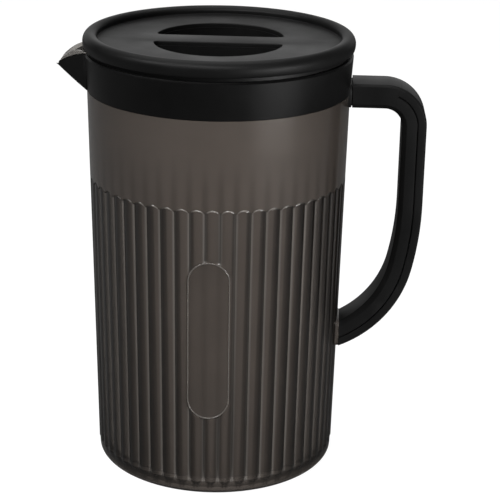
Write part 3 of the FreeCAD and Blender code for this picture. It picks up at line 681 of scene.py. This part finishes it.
def handle_section(near, far, near_chamfer, far_chamfer):
    """Section between two depths o, chamfered at both, with a fine groove along each of its outer edges."""
    line = half_w - near_chamfer - FINE_INSET
    right = [(near, line - FINE_HALF_W), (near + FINE_DEPTH, line), (near, line + FINE_HALF_W),
             (near + near_chamfer, half_w), (far - far_chamfer, half_w), (far, half_w - far_chamfer)]
    left = [(o, -y) for o, y in right[::-1]]
    soft = np.array([0.08, 0.05, 0.08, 0.3 * near_chamfer] + [min(0.5, 0.4 * far_chamfer)] * 2)
    return rounded_outline(right + left, np.concatenate([soft, soft[::-1]]), steps=4)


whole_section = handle_section(0.0, HANDLE_T, OUTER_CHAMFER, INNER_CHAMFER)
grip_section = handle_section(COVER_T + SEAM, HANDLE_T, COVER_CHAMFER, INNER_CHAMFER)
cover_section = handle_section(0.0, COVER_T, OUTER_CHAMFER, COVER_CHAMFER)
seam_gap = END_GAP / BEND_R
grip_rows = np.concatenate([
    carried(whole_section, 0.0, SEAM_START - seam_gap, arm=True),
    carried(grip_section, SEAM_START - seam_gap, math.pi / 2.0, rest=True)])
grip = skin("grip", capped(grip_rows))
strip_rows = capped(carried(cover_section, SEAM_START, math.pi / 2.0, rest=True))
tongue = np.array([(COVER_T - 0.1, TONGUE_W / 2), (COVER_T + SEAM - 0.02, TONGUE_W / 2),
                   (COVER_T + SEAM - 0.02, -TONGUE_W / 2), (COVER_T - 0.1, -TONGUE_W / 2)])
strip = skin("grip_strip", strip_rows, capped(carried(tongue, SEAM_START + 0.01, math.pi / 2.0, rest=True)))
dress(grip, "jug", "handle_grip")
dress(strip, "jug", "handle_cover")

# %% [markdown]
# The lid's cap is a turned bead round a flat panel. The bead's profile is made of quarter ellipses, because
# it is fuller on the outside than toward the panel, and below it a neck keeps the lid clear of the collar.

# %% Lid bead profile
BEAD_W = 7.3
BEAD_LOW_Z = COLLAR_TOP_Z + 2.3
BEAD_WIDE_Z = BEAD_LOW_Z + 3.3
BEAD_CREST_R = BEAD_R - 3.8
PANEL_R = BEAD_R - BEAD_W
PANEL_Z = BEAD_TOP_Z - 4.0
PANEL_T = 2.2
LID_NECK_R = BEAD_R - 0.8 - 2.3
LID_BORE = LID_NECK_R - 2.8


def ellipse(centre_r, centre_z, a, b, start, end, count):
    """Arc of an ellipse in the (r, z) plane, angles in degrees."""
    t = np.radians(np.linspace(start, end, count))
    return np.stack([centre_r + a * np.cos(t), centre_z + b * np.sin(t)], axis=-1)


bead_profile = np.concatenate([
    [(LID_BORE, PANEL_Z - PANEL_T), (LID_BORE, COLLAR_TOP_Z)],
    [(LID_NECK_R, COLLAR_TOP_Z), (LID_NECK_R, BEAD_LOW_Z)],
    ellipse(BEAD_R - 1.0, BEAD_WIDE_Z, 1.0, BEAD_WIDE_Z - BEAD_LOW_Z, -90, 0, 7),
    ellipse(BEAD_CREST_R, BEAD_WIDE_Z, BEAD_R - BEAD_CREST_R, BEAD_TOP_Z - BEAD_WIDE_Z, 0, 90, 13)[1:],
    ellipse(BEAD_CREST_R, BEAD_TOP_Z - 2.6, BEAD_CREST_R - PANEL_R, 2.6, 90, 180, 10)[1:],
    [(PANEL_R, PANEL_Z + 0.25), (PANEL_R - 0.25, PANEL_Z)]])
print("bead profile has", len(bead_profile), "points, panel radius", round(PANEL_R, 2))

# %% [markdown]
# Two half-round openings in the panel leave a bar to grip. On each side of the bar the panel is a ring of
# quads between the opening's outline and half the disc, with a few extra rows that round the opening's edge
# over. Bead and panel meet in the same columns.

# %% Lid panel with its finger wells
BAR_W = 17.0
WELL_W = 64.5
WELL_Y = 29.5
CUT_MARGIN = 0.6
CUT_CORNER = 3.0
EDGE_ROUND = 0.55
ARC_STEPS = 60
BAR_STEPS = 12
CORNER_STEPS = 6


def well_outline(grow):
    """Half-round opening: a straight side along the bar, two corner arcs and a large arc, joined smoothly."""
    half = WELL_W / 2.0
    radius = (half ** 2 + WELL_Y ** 2) / (2.0 * WELL_Y)
    centre_y = BAR_W / 2.0 + WELL_Y - radius
    big = radius + grow
    low = BAR_W / 2.0 - grow
    fillet = CUT_CORNER + grow - CUT_MARGIN
    corner_y = low + fillet
    corner_x = math.sqrt((big - fillet) ** 2 - (corner_y - centre_y) ** 2)
    join = math.atan2(corner_y - centre_y, corner_x)
    along = np.linspace(-corner_x, corner_x, BAR_STEPS, endpoint=False)
    bar = np.stack([along, np.full(BAR_STEPS, low)], axis=-1)
    turn = np.linspace(-math.pi / 2.0, join, CORNER_STEPS, endpoint=False)
    right = np.stack([corner_x + fillet * np.cos(turn), corner_y + fillet * np.sin(turn)], axis=-1)
    sweep = np.linspace(join, math.pi - join, ARC_STEPS, endpoint=False)
    arc = np.stack([big * np.cos(sweep), centre_y + big * np.sin(sweep)], axis=-1)
    left = np.concatenate([arc[:1] * [-1, 1], right[:0:-1] * [-1, 1]])
    return np.concatenate([bar, right, arc, left])


half_count = ARC_STEPS + 2 * CORNER_STEPS
half_circle = np.linspace(0.0, math.pi, half_count + 1)
cap_theta = np.concatenate([half_circle, math.pi + half_circle[1:-1]])


def half_disc(r):
    """Outline of half a disc with as many points as the opening: the diameter, then the half circle."""
    bar = np.stack([np.linspace(-r, r, BAR_STEPS, endpoint=False), np.zeros(BAR_STEPS)], axis=-1)
    arc = r * np.stack([np.cos(half_circle[:-1]), np.sin(half_circle[:-1])], axis=-1)
    return np.concatenate([bar, arc])


def panel_half(side):
    """Ring grid from the disc's edge to the opening, over its rounded edge and back underneath."""
    over = np.radians(np.linspace(90.0, 0.0, 5))
    rows = [(half_disc(PANEL_R - 0.25), PANEL_Z)]
    rows += [(well_outline(CUT_MARGIN + EDGE_ROUND * (1.0 - math.cos(a))),
              PANEL_Z - EDGE_ROUND * (1.0 - math.sin(a))) for a in over]
    rows += [(well_outline(CUT_MARGIN), PANEL_Z - PANEL_T), (half_disc(LID_BORE), PANEL_Z - PANEL_T)]
    return np.stack([np.column_stack([plan * [1.0, side], np.full(len(plan), z)]) for plan, z in rows])


cap_bead = np.stack([turned(r, z, cap_theta) for r, z in bead_profile])
cap = skin("lid_cover", cap_bead, panel_half(1.0), panel_half(-1.0))
dress(cap, "lid", "lid_cap")

# %% [markdown]
# Moulded plastic is never one flat colour. A fine grain left by the mould breaks up its gloss, and wide soft
# clouds vary it a little. This serves several materials, so it is a shader node group with named sockets that
# is built once. Small helpers keep the node graphs short.

# %% Mould grain as a shader group


def add_node(tree, kind, **settings):
    """New node of a kind, with its properties set by name."""
    node = tree.nodes.new(kind)
    for name, value in settings.items():
        setattr(node, name, value)
    return node


def feed(tree, socket, value):
    """Links an output to a socket, or sets a plain number or colour on it."""
    if isinstance(value, bpy.types.NodeSocket):
        tree.links.new(value, socket)
    else:
        socket.default_value = value


def feed_all(tree, node, **values):
    """Feeds a node's inputs by name, with _ for a space, and returns its outputs."""
    for name, value in values.items():
        feed(tree, node.inputs[name.replace("_", " ")], value)
    return node.outputs


def noise(tree, vector, scale, detail=3.0):
    node = add_node(tree, "ShaderNodeTexNoise")
    return feed_all(tree, node, Vector=vector, Scale=scale, Detail=detail)["Fac"]


def fit_range(tree, value, low, high, to_low, to_high):
    """Value moved from one range to another and held at its ends."""
    node = add_node(tree, "ShaderNodeMapRange")
    feed_all(tree, node, Value=value, From_Min=low, From_Max=high, To_Min=to_low, To_Max=to_high)
    return node.outputs["Result"]


def new_group(name, inputs, outputs):
    """Shader group with a vector, number inputs and number outputs; also gives what enters and its end."""
    group = bpy.data.node_groups.new(name, "ShaderNodeTree")
    group.interface.new_socket("Vector", in_out="INPUT", socket_type="NodeSocketVector")
    for side, names in (("INPUT", inputs), ("OUTPUT", outputs)):
        for socket in names:
            group.interface.new_socket(socket, in_out=side, socket_type="NodeSocketFloat")
    return group, add_node(group, "NodeGroupInput").outputs, add_node(group, "NodeGroupOutput")


grain_group, enter, leave = new_group("moulded_grain", ["Grain Scale"], ["Height", "Cloud"])
fine = noise(grain_group, enter["Vector"], enter["Grain Scale"], detail=2.0)
cloud = noise(grain_group, enter["Vector"], 38.0, detail=4.0)
feed_all(grain_group, leave, Height=fine, Cloud=fit_range(grain_group, cloud, 0.3, 0.7, 0.85, 1.15))
print("shader group", grain_group.name, "has", len(grain_group.nodes), "nodes")

# %% [markdown]
# Edges are a touch paler: partly rub wear, and partly a painted highlight where an edge would catch light.
# Pointiness tells how far a surface bends outward, and noise breaks the mask up, because wear is never even.

# %% Rubbed edges with a painted highlight as a shader group


def combine(tree, operation, first, second, **settings):
    """Math node of two values, each of them an output or a number."""
    node = add_node(tree, "ShaderNodeMath", operation=operation, **settings)
    feed(tree, node.inputs[0], first)
    feed(tree, node.inputs[1], second)
    return node.outputs["Value"]


rub_and_highlight_group, enter, leave = new_group("edge_rub_and_highlight", ["Amount"], ["Mask"])
shape = add_node(rub_and_highlight_group, "ShaderNodeNewGeometry")
bend = fit_range(rub_and_highlight_group, shape.outputs["Pointiness"], 0.51, 0.58, 0.0, 1.0)
patch = fit_range(rub_and_highlight_group, noise(rub_and_highlight_group, enter["Vector"], 160.0), 0.35, 0.65, 0.4, 1.0)
wear_and_highlight = combine(rub_and_highlight_group, "MULTIPLY", bend, patch)
feed_all(rub_and_highlight_group, leave, Mask=combine(rub_and_highlight_group, "MULTIPLY", wear_and_highlight, enter["Amount"]))
print("shader group", rub_and_highlight_group.name, "has", len(rub_and_highlight_group.nodes), "nodes")

# %% [markdown]
# Satin black plastic gets its character from roughness rather than colour: it is nearly black, and what is
# seen of it is mostly a soft reflection. One recipe serves collar, handle and lid with different numbers.

# %% Satin plastic recipe


def new_material(name):
    """New material, its node tree, its Principled shader and the object's own coordinates."""
    material = bpy.data.materials.new(name)
    material.use_nodes = True
    tree = material.node_tree
    place = add_node(tree, "ShaderNodeTexCoord")
    return material, tree, tree.nodes["Principled BSDF"], place.outputs["Object"]


def use_group(tree, group, place, **values):
    node = add_node(tree, "ShaderNodeGroup", node_tree=group)
    return feed_all(tree, node, Vector=place, **values)


def grey(level):
    return (level, level, level, 1.0)


def toward(tree, colour, factor, target, blend="MIX"):
    """Colour led toward a target, or times it, by a factor from 0 to 1; each is an output or a value."""
    node = add_node(tree, "ShaderNodeMix", data_type="RGBA", blend_type=blend)
    return feed_all(tree, node, A=colour, B=target, Factor=factor)["Result"]


def satin_plastic(name, dark, pale, roughness, specular, grain_scale, grain_depth):
    """Moulded satin plastic: clouds between two greys, worn edges paler with a painted highlight, grain as
    bump.
    """
    material, tree, shader, place = new_material(name)
    grain = use_group(tree, grain_group, place, Grain_Scale=grain_scale)
    # Pale edges: partly wear, partly a painted highlight
    edge_wear_and_highlight = use_group(tree, rub_and_highlight_group, place, Amount=0.6)
    clouds = fit_range(tree, grain["Cloud"], 0.85, 1.15, 0.0, 0.5)
    shade = combine(tree, "ADD", clouds, edge_wear_and_highlight["Mask"], use_clamp=True)
    bump = add_node(tree, "ShaderNodeBump")
    relief = feed_all(tree, bump, Strength=0.35, Distance=grain_depth * MM, Height=grain["Height"])
    feed_all(tree, shader, Base_Color=toward(tree, grey(dark), shade, grey(pale)),
             Roughness=combine(tree, "MULTIPLY", grain["Cloud"], roughness),
             Normal=relief["Normal"], Specular_IOR_Level=specular)
    return material


black_plastic = satin_plastic("satin_black", 0.003, 0.007, 0.38, 0.12, 2600.0, 0.03)
grip_plastic = satin_plastic("satin_grip", 0.006, 0.012, 0.44, 0.09, 2600.0, 0.03)
lid_plastic = satin_plastic("satin_lid", 0.004, 0.009, 0.44, 0.14, 2200.0, 0.04)
print("satin plastics:", black_plastic.name, grip_plastic.name, lid_plastic.name)

# %% [markdown]
# The vessel is clear plastic with a smoky brown tint and a little haze. Light that reaches the eye through the
# empty jug crosses two walls, so one wall's tint is about the square root of the whole, and the haze is a
# rough transmission. A wall that is seen aslant is a longer way through the tint, and a reed bends the light
# like a lens, which darkens its flanks even more. Ramps on Layer Weight paint both into the base colour as
# shade. The marks then add painted shade in the valleys and painted highlights on the edges, and make the
# pouring lip paler.

# %% Smoke plastic
REED_SHADE = [(0.0, 0.87), (0.07, 0.83), (0.12, 0.72), (0.165, 0.37), (0.3, 0.19), (0.5, 0.09), (0.8, 0.06)]
BAND_SHADE = [(0.0, 0.92), (0.12, 0.95), (0.3, 0.82), (0.6, 0.56), (1.0, 0.32)]
SMOKE_DARK = (0.205, 0.174, 0.152, 1.0)
SMOKE_PALE = (0.226, 0.192, 0.168, 1.0)
OUTER_HAZE = 0.16
INNER_HAZE = 0.30
PAINTED_SHADE_TINT = grey(0.45)
# Colour of the painted highlight on reed edges, arch rims and the bead
PAINTED_HIGHLIGHT_TINT = (0.90, 0.85, 0.79, 1.0)
LIP_TINT = (0.42, 0.40, 0.375, 1.0)


def attribute(tree, name):
    return add_node(tree, "ShaderNodeAttribute", attribute_name=name).outputs["Fac"]


def grey_ramp(tree, value, stops):
    """Grey level by a value from 0 to 1, through (place, level) stops."""
    node = add_node(tree, "ShaderNodeValToRGB")
    ramp = node.color_ramp
    while len(ramp.elements) < len(stops):
        ramp.elements.new(0.5)
    for element, (at, level) in zip(ramp.elements, stops):
        element.position = at
        element.color = grey(level)
    return feed_all(tree, node, Fac=value)["Color"]


smoke_plastic, tree, shader, place = new_material("smoke_clear")
grain = use_group(tree, grain_group, place, Grain_Scale=900.0)
tint = fit_range(tree, grain["Cloud"], 0.85, 1.15, 0.0, 1.0)
smoke = toward(tree, SMOKE_DARK, tint, SMOKE_PALE)
# Painted shade darkens the colour, then the painted highlight lightens it
smoke = toward(tree, smoke, attribute(tree, "painted_shade"), PAINTED_SHADE_TINT, "MULTIPLY")
smoke = toward(tree, smoke, attribute(tree, "painted_highlight"), PAINTED_HIGHLIGHT_TINT)
# The ramps paint shade into the colour by how aslant the wall is seen
aslant = feed_all(tree, add_node(tree, "ShaderNodeLayerWeight"), Blend=0.5)["Facing"]
band_shade = grey_ramp(tree, aslant, BAND_SHADE)
reed_shade = grey_ramp(tree, aslant, REED_SHADE)
shade = toward(tree, band_shade, attribute(tree, "reeded"), reed_shade)
smoke = toward(tree, smoke, 1.0, shade, "MULTIPLY")
smoke = toward(tree, smoke, attribute(tree, "lip"), LIP_TINT)
haze = fit_range(tree, attribute(tree, "inside"), 0.0, 1.0, OUTER_HAZE, INNER_HAZE)
feed_all(tree, shader, Base_Color=smoke, Roughness=haze, Transmission_Weight=0.7, IOR=1.46)
print("smoke plastic has", len(tree.nodes), "nodes")

# %% [markdown]
# The silicone ring and the two screws are seen only when the lid is lifted or the strip is off. They still
# get real finishes: silicone is matt with a faint bloom, and a turned screw head shows fine rings about its
# axis.

# %% Silicone and steel
SEAL_DARK = (0.030, 0.030, 0.031, 1.0)
SEAL_PALE = (0.060, 0.060, 0.062, 1.0)
STEEL_DARK = (0.50, 0.50, 0.51, 1.0)
STEEL_PALE = (0.68, 0.68, 0.69, 1.0)

seal_silicone, tree, shader, place = new_material("seal_grey")
cloud = use_group(tree, grain_group, place, Grain_Scale=1500.0)["Cloud"]
bloom = fit_range(tree, cloud, 0.85, 1.15, 0.0, 1.0)
feed_all(tree, shader, Base_Color=toward(tree, SEAL_DARK, bloom, SEAL_PALE),
         Roughness=fit_range(tree, cloud, 0.85, 1.15, 0.6, 0.8))

screw_steel, tree, shader, place = new_material("screw_steel")
stretch = add_node(tree, "ShaderNodeMapping")
stretched = feed_all(tree, stretch, Vector=place, Scale=(400.0, 4000.0, 4000.0))["Vector"]
lines = noise(tree, stretched, 1.0)
feed_all(tree, shader, Base_Color=toward(tree, STEEL_DARK, lines, STEEL_PALE),
         Roughness=fit_range(tree, lines, 0.3, 0.7, 0.22, 0.38), Metallic=1.0)
print("finishes:", seal_silicone.name, screw_steel.name)

# %% [markdown]
# Now each piece gets its material. Vessel, bead and lug are one moulding, so they share the smoke plastic.
# The CAD nodes that no new piece stands for are reached through the frame.

# %% Coat every piece
coats = [
    (smoke_plastic, (vessel, plate_bead, lug)), (black_plastic, (collar,)), (grip_plastic, (grip, strip)),
    (lid_plastic, (cap, nodes["lid_plug"])), (seal_silicone, (nodes["lid_gasket"],)),
    (screw_steel, (nodes["handle_screws"],))]
for material, pieces in coats:
    for piece in pieces:
        piece.data.materials.clear()
        piece.data.materials.append(material)
    print(material.name, "on", [piece.name for piece in pieces])

# %% [markdown]
# The photo has a white background without a horizon. A pale floor keeps the jug's soft shadow, and both floor
# and world answer camera rays with plain white, and also rays that come straight through the clear wall.
# Gloss is given less: a studio is dim behind the camera, which keeps black plastic black at the front. Only
# the floor far to the left shows faintly in it.

# %% Floor
FLOOR_SIZE = 6.0
FLOOR_WHITE = 0.95
FLOOR_GREY = grey(0.15)
LEFT_GLOSS = 0.08


def white_rays(tree, path):
    """1 for camera rays, and for transmission rays that no surface has scattered on the way; else 0."""
    straight = combine(tree, "LESS_THAN", path["Diffuse Depth"], 0.5)
    through = combine(tree, "MULTIPLY", path["Is Transmission Ray"], straight)
    return combine(tree, "MAXIMUM", path["Is Camera Ray"], through)


floor_points = np.array([(-1, -1, 0), (1, -1, 0), (-1, 1, 0), (1, 1, 0)], float) * FLOOR_SIZE / 2.0
mesh = bpy.data.meshes.new("floor")
mesh.from_pydata(floor_points, [], [(0, 1, 3, 2)])
floor = bpy.data.objects.new("floor", mesh)
bpy.context.scene.collection.objects.link(floor)

floor_white = bpy.data.materials.new("floor_white")
floor_white.use_nodes = True
tree = floor_white.node_tree
tree.nodes.clear()
path = add_node(tree, "ShaderNodeLightPath").outputs
spot = add_node(tree, "ShaderNodeTexCoord").outputs["Object"]
floor_x = feed_all(tree, add_node(tree, "ShaderNodeSeparateXYZ"), Vector=spot)["X"]
left_side = fit_range(tree, floor_x, -0.1, -0.35, 0.0, LEFT_GLOSS)
gloss = combine(tree, "MULTIPLY", path["Is Glossy Ray"], left_side)
seen = combine(tree, "MAXIMUM", white_rays(tree, path), gloss)
strength = combine(tree, "MULTIPLY", seen, FLOOR_WHITE)
matt = feed_all(tree, add_node(tree, "ShaderNodeBsdfDiffuse"), Color=FLOOR_GREY)
glow = feed_all(tree, add_node(tree, "ShaderNodeEmission"), Strength=strength)
both = add_node(tree, "ShaderNodeAddShader")
feed(tree, both.inputs[0], matt["BSDF"])
feed(tree, both.inputs[1], glow["Emission"])
feed_all(tree, add_node(tree, "ShaderNodeOutputMaterial"), Surface=both.outputs["Shader"])
floor.data.materials.append(floor_white)
print("floor", FLOOR_SIZE, "m wide")

# %% [markdown]
# The world is the same white for camera rays. In gloss it shows only behind the jug, where the wall is seen
# at a glancing angle, and a little more to the left, so that the jug's outline gets its pale edge.

# %% World
AMBIENT = 0.04
LEFTWARD = -0.08

world = bpy.data.worlds.new("studio")
bpy.context.scene.world = world
world.use_nodes = True
tree = world.node_tree
path = add_node(tree, "ShaderNodeLightPath").outputs
direction = add_node(tree, "ShaderNodeTexCoord").outputs["Generated"]
split = feed_all(tree, add_node(tree, "ShaderNodeSeparateXYZ"), Vector=direction)
leftward = combine(tree, "ADD", combine(tree, "MULTIPLY", split["X"], LEFTWARD), split["Y"])
behind = fit_range(tree, leftward, 0.76, 0.98, 0.05, 0.9)
mirror = combine(tree, "MULTIPLY", path["Is Glossy Ray"], behind)
white = combine(tree, "MAXIMUM", white_rays(tree, path), mirror)
strength = combine(tree, "MAXIMUM", white, AMBIENT)
feed_all(tree, tree.nodes["Background"], Color=grey(1.0), Strength=strength)
print("world", world.name, "ambient", AMBIENT)

# %% [markdown]
# Three soft lamps shape the jug: a wide one overhead, a long strip high at the front that lights the lid's
# bead and, over a painted highlight, draws the rims of the reeds' arches, and a low box at the right that puts
# a soft sheen on the collar and the plain band.

# %% Lamps


def softbox(name, place, target, width, height, power):
    """Rectangular area lamp at place, facing target; sizes in metres, power in watts."""
    data = bpy.data.lights.new(name, "AREA")
    data.shape = "RECTANGLE"
    data.size = width
    data.size_y = height
    data.energy = power
    lamp = bpy.data.objects.new(name, data)
    lamp.location = place
    lamp.rotation_euler = (Vector(target) - Vector(place)).to_track_quat("-Z", "Y").to_euler()
    bpy.context.scene.collection.objects.link(lamp)


middle = (0.0, 0.0, 0.12)
softbox("overhead", (-0.1, 0.25, 1.3), middle, 1.2, 1.2, 9.0)
softbox("front_strip", (-0.55, -0.97, 1.235), middle, 2.6, 0.35, 28.0)
softbox("right_low", (0.77, -0.60, 0.11), middle, 0.6, 0.2, 7.0)
print("lamps:", [lamp.name for lamp in bpy.data.lights])

# %% [markdown]
# The camera's place was worked out from the circles of the lid, collar and foot in the photo. It stands 0.8 m
# away, looks down by about twenty degrees and is rolled by one degree, with the jug a little left of the
# centre.

# %% Camera
IMAGE_SIDE = 500.0
FOCAL_PX = 1600.0
CAMERA_AZIMUTH = math.radians(3.5)
CAMERA_DISTANCE = 0.80404
CAMERA_HEIGHT = 0.40639
PITCH = math.radians(20.977)
ROLL = math.radians(1.039)
AXIS_PX = (32.87, -25.05)

away = Vector((-math.sin(CAMERA_AZIMUTH), math.cos(CAMERA_AZIMUTH), 0.0))
right = Vector((math.cos(CAMERA_AZIMUTH), math.sin(CAMERA_AZIMUTH), 0.0))
ahead = away * math.cos(PITCH) - Vector((0.0, 0.0, math.sin(PITCH)))
above = right.cross(ahead)
ahead = (ahead + right * (AXIS_PX[0] / FOCAL_PX) - above * (AXIS_PX[1] / FOCAL_PX)).normalized()
right = ahead.cross(Vector((0.0, 0.0, 1.0))).normalized()
above = right.cross(ahead)
tilted_right = right * math.cos(ROLL) + above * math.sin(ROLL)
tilted_above = above * math.cos(ROLL) - right * math.sin(ROLL)

camera_data = bpy.data.cameras.new("photo_camera")
camera_data.sensor_width = 36.0
camera_data.lens = FOCAL_PX / IMAGE_SIDE * camera_data.sensor_width
camera = bpy.data.objects.new("photo_camera", camera_data)
bpy.context.scene.collection.objects.link(camera)
turn = Matrix((tilted_right, tilted_above, -ahead)).transposed().to_4x4()
stand = CAMERA_DISTANCE * -away + Vector((0.0, 0.0, CAMERA_HEIGHT))
camera.matrix_world = Matrix.Translation(stand) @ turn
bpy.context.scene.camera = camera
bpy.context.scene.view_settings.view_transform = "Standard"
print("camera stands at", [round(v, 3) for v in stand], "with a lens of", camera_data.lens, "mm")
